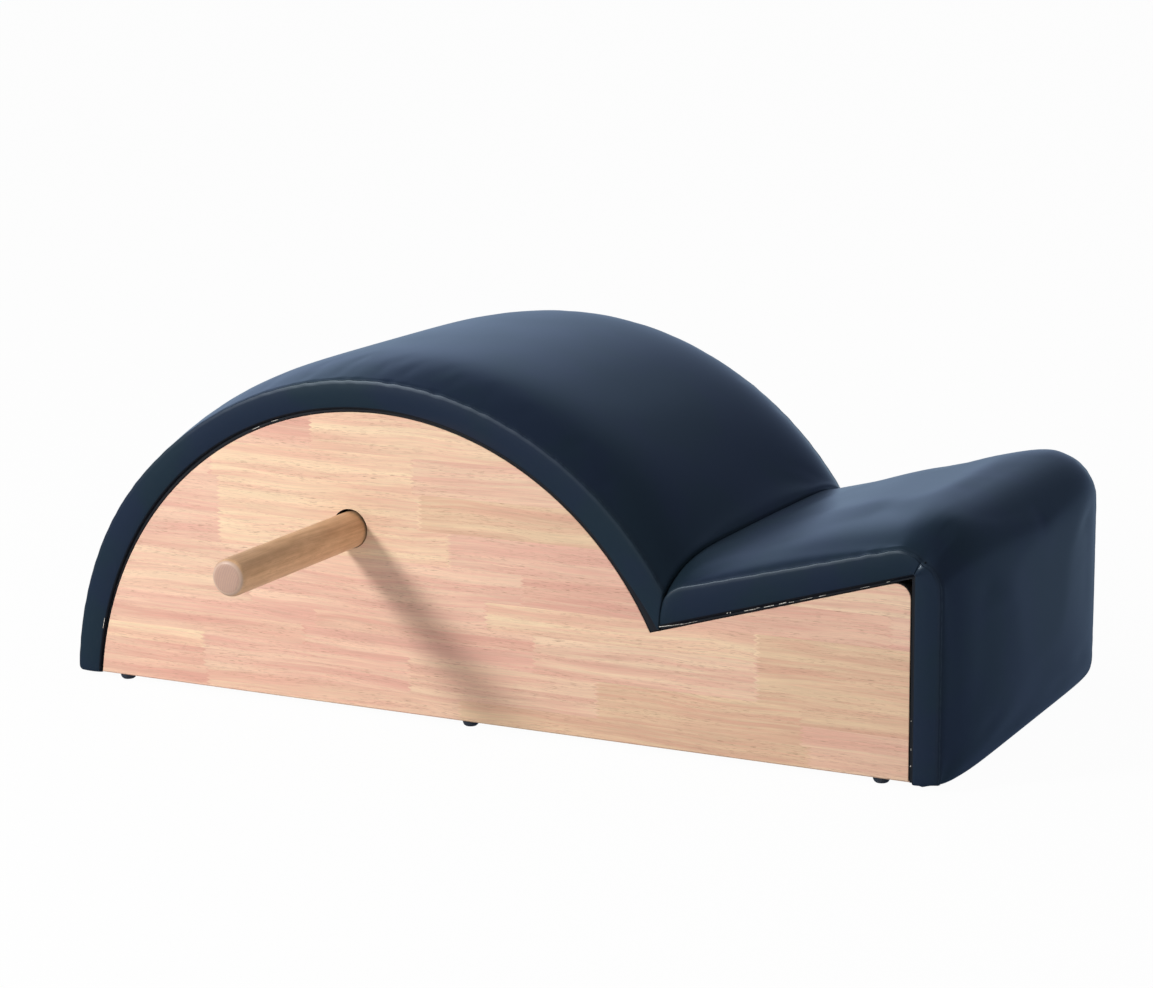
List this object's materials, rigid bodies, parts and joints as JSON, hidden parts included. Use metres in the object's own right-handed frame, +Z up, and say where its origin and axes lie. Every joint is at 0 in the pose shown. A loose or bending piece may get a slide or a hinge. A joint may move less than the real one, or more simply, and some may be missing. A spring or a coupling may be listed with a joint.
{
  "type": "spine corrector",
  "caption": "Low upholstered exercise barrel on two arched wooden side panels, with a sloped padded seat at one end and a removable dowel handle on each side.",
  "frame": {"origin": "on the floor below the middle of the bounding box", "axes": "+Z up, +X along the body towards the seat end, +Y to the left of someone who sits on the seat end with their back to the barrel and looks along +X"},
  "size_m": [0.97, 0.867, 0.3491],
  "materials": {
    "panel_wood": "finger-jointed hardwood, satin lacquer",
    "handle_wood": "turned hardwood dowel, satin lacquer",
    "rail_wood": "planed softwood, unfinished",
    "plywood": "sanded plywood, unfinished",
    "upholstery": "smooth dark blue-black vinyl over foam",
    "rubber": "moulded black rubber",
    "zinc_steel": "zinc-plated steel"
  },
  "bodies": {
    "frame": {"back_rail": "rail_wood", "barrel_bolt_1": "zinc_steel", "barrel_bolt_2": "zinc_steel", "barrel_bolt_3": "zinc_steel", "barrel_bolt_4": "zinc_steel", "barrel_deck": "plywood", "barrel_pad": "upholstery", "barrel_tee_nut_1": "zinc_steel", "barrel_tee_nut_2": "zinc_steel", "barrel_tee_nut_3": "zinc_steel", "barrel_tee_nut_4": "zinc_steel", "crest_rail": "rail_wood", "foot_front_left": "rubber", "foot_front_right": "rubber", "foot_middle_left": "rubber", "foot_middle_right": "rubber", "foot_rear_left": "rubber", "foot_rear_right": "rubber", "front_board": "plywood", "front_bolt_1": "zinc_steel", "front_bolt_2": "zinc_steel", "front_rail": "rail_wood", "front_tee_nut_1": "zinc_steel", "front_tee_nut_2": "zinc_steel", "handle_socket_left": "rail_wood", "handle_socket_right": "rail_wood", "notch_rail": "rail_wood", "rear_rail": "rail_wood", "seat_board": "plywood", "seat_bolt_1": "zinc_steel", "seat_bolt_2": "zinc_steel", "seat_bolt_3": "zinc_steel", "seat_bolt_4": "zinc_steel", "seat_pad": "upholstery", "seat_rail": "rail_wood", "seat_tee_nut_1": "zinc_steel", "seat_tee_nut_2": "zinc_steel", "seat_tee_nut_3": "zinc_steel", "seat_tee_nut_4": "zinc_steel", "side_panel_left": "panel_wood", "side_panel_right": "panel_wood"},
    "handle_right": {"handle_right": "handle_wood"},
    "handle_left": {"handle_left": "handle_wood"}
  },
  "joints": [
    {"name": "handle_right_pull", "type": "slide", "parent": "frame", "child": "handle_right", "axis": [0, -1, 0], "range_m": [0, 0.08]},
    {"name": "handle_left_pull", "type": "slide", "parent": "frame", "child": "handle_left", "axis": [0, 1, 0], "range_m": [0, 0.08]}
  ]
}
